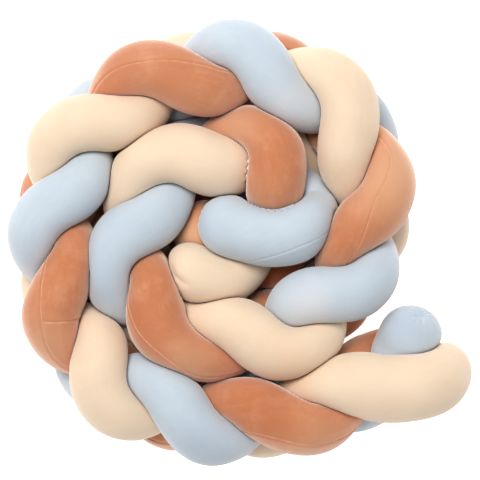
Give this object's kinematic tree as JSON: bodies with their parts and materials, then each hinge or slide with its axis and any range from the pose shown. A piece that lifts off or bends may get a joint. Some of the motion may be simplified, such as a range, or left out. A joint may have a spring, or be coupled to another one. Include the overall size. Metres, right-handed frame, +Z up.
{
  "type": "braided crib bumper",
  "caption": "Soft braided crib bumper of stuffed velvet tubes in cream, rust and pale blue, coiled and standing on its edge.",
  "frame": {"origin": "middle of the coil's outline on the surface it stands on", "axes": "+Z up from the surface, across the braid's width; +X to the right in plan, along the coil's longest side towards the loose end; +Y away from the loose end's side"},
  "size_m": [0.5555, 0.5283, 0.1709],
  "materials": {
    "cream_velvet": "soft short-pile velvet, cream",
    "rust_velvet": "soft short-pile velvet, rust",
    "blue_velvet": "soft short-pile velvet, pale blue"
  },
  "bodies": {
    "root": {"cream_strand": "cream_velvet", "rust_strand": "rust_velvet", "blue_strand": "blue_velvet"}
  },
  "joints": []
}
